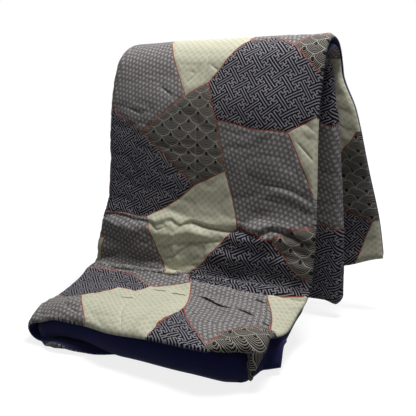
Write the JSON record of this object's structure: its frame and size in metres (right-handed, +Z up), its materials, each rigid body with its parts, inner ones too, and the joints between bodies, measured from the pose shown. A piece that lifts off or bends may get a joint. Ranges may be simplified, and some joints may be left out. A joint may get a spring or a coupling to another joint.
{
  "type": "kotatsu futon on a legless floor chair",
  "caption": "Kotatsu futon folded lengthwise and draped over a legless wooden floor chair, patchwork side out.",
  "frame": {"origin": "middle of the underside of the chair's seat board, on the floor", "axes": "+Z up; -Y the way a sitter faces; +X to the right as seen from the front"},
  "size_m": [0.764, 0.6841, 0.7502],
  "materials": {
    "futon": "matte woven cotton",
    "wood": "satin"
  },
  "bodies": {
    "root": {"futon": "futon", "seat_board": "wood", "stile_left": "wood", "stile_right": "wood", "top_rail": "wood", "back_slat_1": "wood", "back_slat_2": "wood", "back_slat_3": "wood"}
  },
  "joints": []
}
